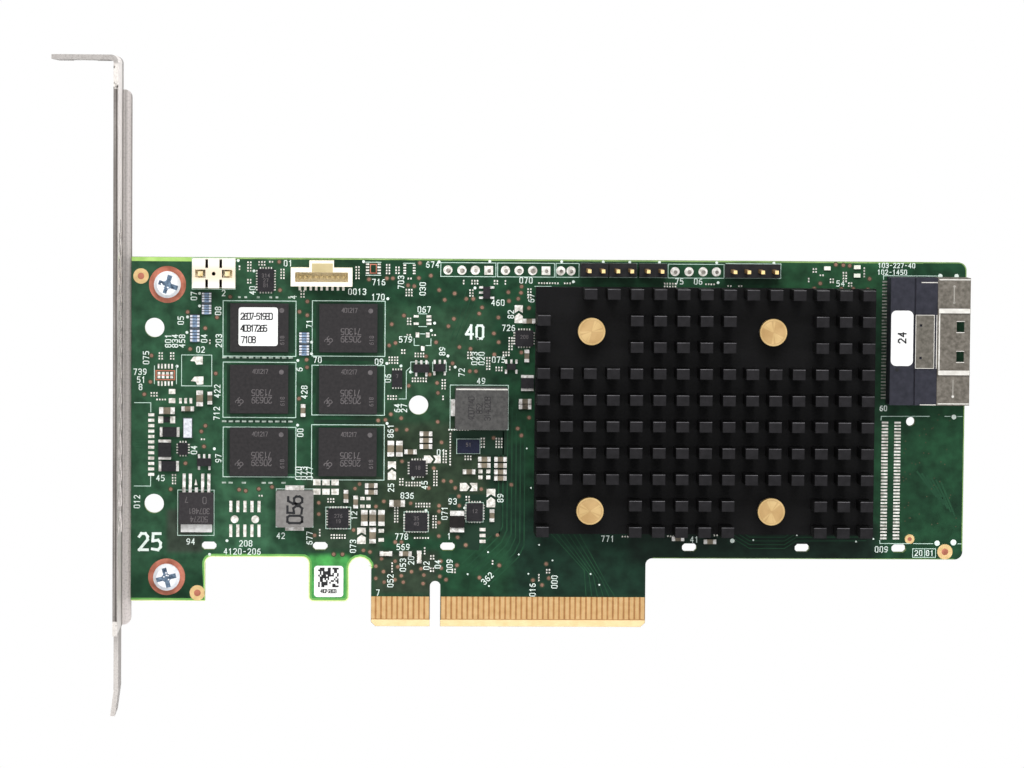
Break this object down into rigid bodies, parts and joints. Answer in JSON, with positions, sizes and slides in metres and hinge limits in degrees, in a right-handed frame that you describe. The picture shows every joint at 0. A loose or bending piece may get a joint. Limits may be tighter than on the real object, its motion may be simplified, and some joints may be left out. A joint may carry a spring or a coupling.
{
  "type": "storage controller card",
  "caption": "Green storage controller card with a full-height vented bracket, a black pin-fin heat sink, memory chips, edge contacts and a side-facing drive cable port.",
  "frame": {"origin": "middle of the key notch, on the tip line of the edge contacts and on the component face of the board", "axes": "+X along the card away from the bracket, +Y from the edge contacts to the far long edge, +Z out of the component face"},
  "size_m": [0.1678, 0.12, 0.0216],
  "materials": {
    "solder_mask": "glossy green",
    "gold_contacts": "satin gold",
    "bracket_steel": "plated, satin",
    "screw_steel": "bright plated",
    "black_fins": "black anodised",
    "push_pin_brass": "turned",
    "spring_steel": "bright wire",
    "package_green": "satin",
    "lid_metal": "nickel plated",
    "pad_grey": "soft pad",
    "chip_black": "moulded black",
    "label_white": "printed label",
    "choke_grey": "pressed iron powder",
    "tin": "tinned",
    "cream_plastic": "natural nylon",
    "header_plastic": "moulded black",
    "port_plastic": "moulded slate black",
    "port_metal": "satin",
    "ceramic_tan": "matt ceramic",
    "resistor_grey": "glazed",
    "light_lens": "clear lens"
  },
  "bodies": {
    "root": {"circuit_board": "solder_mask", "edge_contacts_front": "gold_contacts", "edge_contacts_back": "gold_contacts", "bracket": "bracket_steel", "bracket_screws": "screw_steel", "heat_sink": "black_fins", "push_pins": "push_pin_brass", "push_pin_springs": "spring_steel", "controller_substrate": "package_green", "controller_lid": "lid_metal", "thermal_pad": "pad_grey", "memory_label": "label_white", "choke_ends": "tin", "regulator_body": "chip_black", "regulator_tab": "tin", "regulator_leads": "tin", "battery_connector": "cream_plastic", "battery_pins": "gold_contacts", "nine_way_connector": "cream_plastic", "nine_way_contacts": "tin", "header_pins": "gold_contacts", "port_housing": "port_plastic", "port_shell": "port_metal", "port_latch_plate": "port_metal", "port_label": "label_white", "port_contacts": "tin", "transistor_bodies": "chip_black", "transistor_leads": "tin", "diode_bodies": "chip_black", "diode_ends": "tin", "ceramic_bodies": "ceramic_tan", "ceramic_ends": "tin", "back_ceramic_bodies": "ceramic_tan", "back_ceramic_ends": "tin", "resistor_networks": "resistor_grey", "status_lights": "light_lens", "tab_label": "label_white", "memory_chip_1": "chip_black", "memory_chip_2": "chip_black", "memory_chip_3": "chip_black", "memory_chip_4": "chip_black", "memory_chip_5": "chip_black", "memory_chip_6": "chip_black", "choke_1": "choke_grey", "choke_2": "choke_grey", "choke_3": "choke_grey", "pin_header_1": "header_plastic", "pin_header_2": "header_plastic", "pin_header_3": "header_plastic", "pin_header_4": "header_plastic", "logic_chip_1": "chip_black", "logic_chip_2": "chip_black", "logic_chip_3": "chip_black", "logic_chip_4": "chip_black", "logic_chip_5": "chip_black", "logic_chip_6": "chip_black", "logic_chip_7": "chip_black", "logic_chip_8": "chip_black", "logic_chip_9": "chip_black"}
  },
  "joints": []
}
